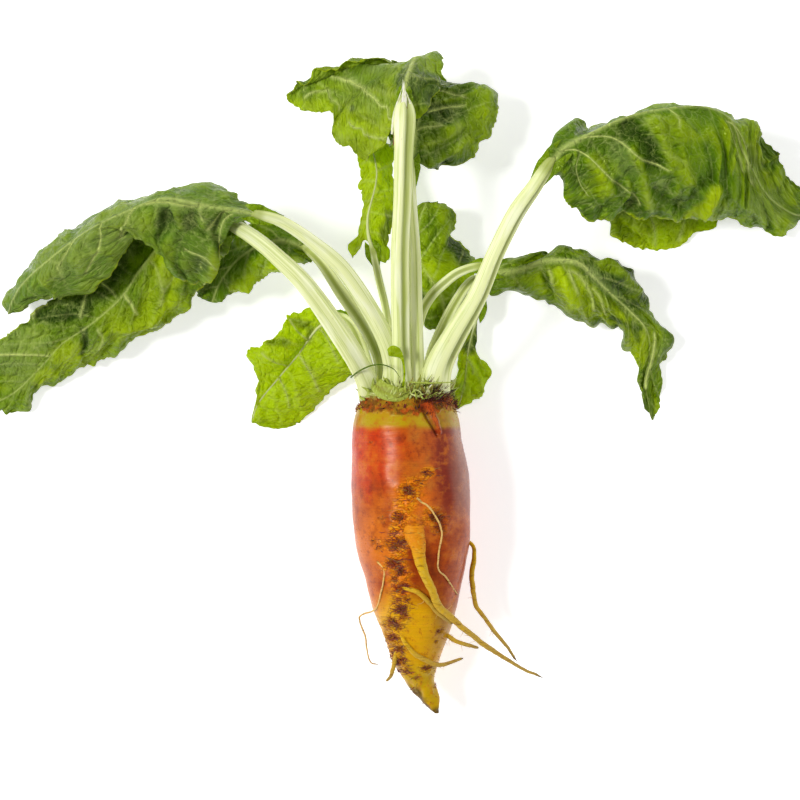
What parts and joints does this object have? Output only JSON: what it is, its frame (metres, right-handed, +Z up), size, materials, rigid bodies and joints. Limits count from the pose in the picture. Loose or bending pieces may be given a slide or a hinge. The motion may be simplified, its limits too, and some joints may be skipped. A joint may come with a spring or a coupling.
{
  "type": "fodder beet",
  "caption": "Freshly picked fodder beet lying on its back: a plump root tapering to a tip with fine side roots, and a crown of long arching stalks with drooping, frilled leaves.",
  "frame": {"origin": "middle of the small flat underneath the root on which the beet rests", "axes": "+Z up from the surface it lies on, +Y from the root's tip to its crown, +X towards the folded upper right leaf"},
  "size_m": [0.7631, 0.5947, 0.1264],
  "materials": {
    "root_skin": "satin",
    "side_root": "matte",
    "stalk": "satin",
    "leaf": "satin",
    "crown_green": "satin",
    "dry_husk": "matte"
  },
  "bodies": {
    "root": {"taproot": "root_skin", "branch_root_main": "side_root", "branch_root_thin": "side_root", "branch_root_right": "side_root", "branch_root_short": "side_root", "branch_root_low": "side_root", "branch_root_tip": "side_root", "hair_root_left": "side_root", "hair_root_right": "side_root", "centre_stalk": "stalk", "front_left_stalk": "stalk", "upper_right_stalk": "stalk", "centre_right_stalk": "stalk", "top_left_stalk": "stalk", "low_right_stalk": "stalk", "mid_left_stalk": "stalk", "right_stalk": "stalk", "inner_left_stalk": "stalk", "back_stalk": "stalk", "low_left_stalk": "stalk", "centre_blade": "leaf", "front_left_blade": "leaf", "upper_right_blade": "leaf", "centre_right_blade": "leaf", "top_left_blade": "leaf", "low_right_blade": "leaf", "mid_left_blade": "leaf", "right_blade": "leaf", "inner_left_blade": "leaf", "back_blade": "leaf", "low_left_blade": "leaf", "young_leaf": "leaf", "torn_leaf_base": "crown_green", "fallen_stalk": "stalk", "dry_strand_left": "dry_husk", "dry_strand_right": "dry_husk", "dry_stub": "crown_green"}
  },
  "joints": []
}
